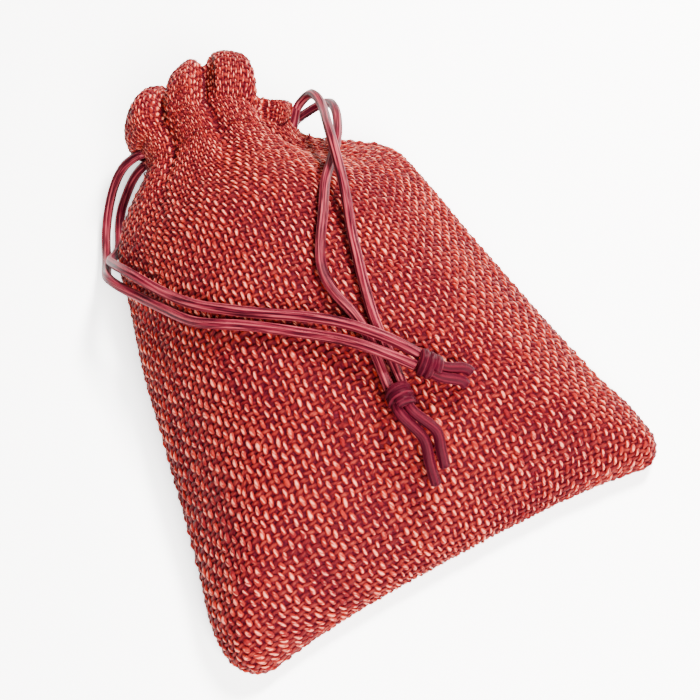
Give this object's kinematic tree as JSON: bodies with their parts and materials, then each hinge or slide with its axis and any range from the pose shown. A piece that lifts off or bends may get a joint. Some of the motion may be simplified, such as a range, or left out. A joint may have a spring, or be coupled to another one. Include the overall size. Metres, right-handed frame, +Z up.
{
  "type": "drawstring pouch",
  "caption": "Small pouch of plain-woven jute cloth lying puffed out on its back, its neck gathered by two thin cords knotted over the front.",
  "frame": {"origin": "centre of the box round the cloth, on the table that the pouch lies on", "axes": "+X to the right across the pouch, +Y from the bottom edge towards the gathered mouth, +Z up from the table out of the puffed front"},
  "size_m": [0.0986, 0.1302, 0.0322],
  "materials": {
    "jute_cloth": "coarse plain weave, dyed red, matt",
    "rose_cord": "smooth satin cord, dark rose"
  },
  "bodies": {
    "root": {"pouch": "jute_cloth", "left_drawstring": "rose_cord", "right_drawstring": "rose_cord", "left_knot": "rose_cord", "right_knot": "rose_cord"}
  },
  "joints": []
}
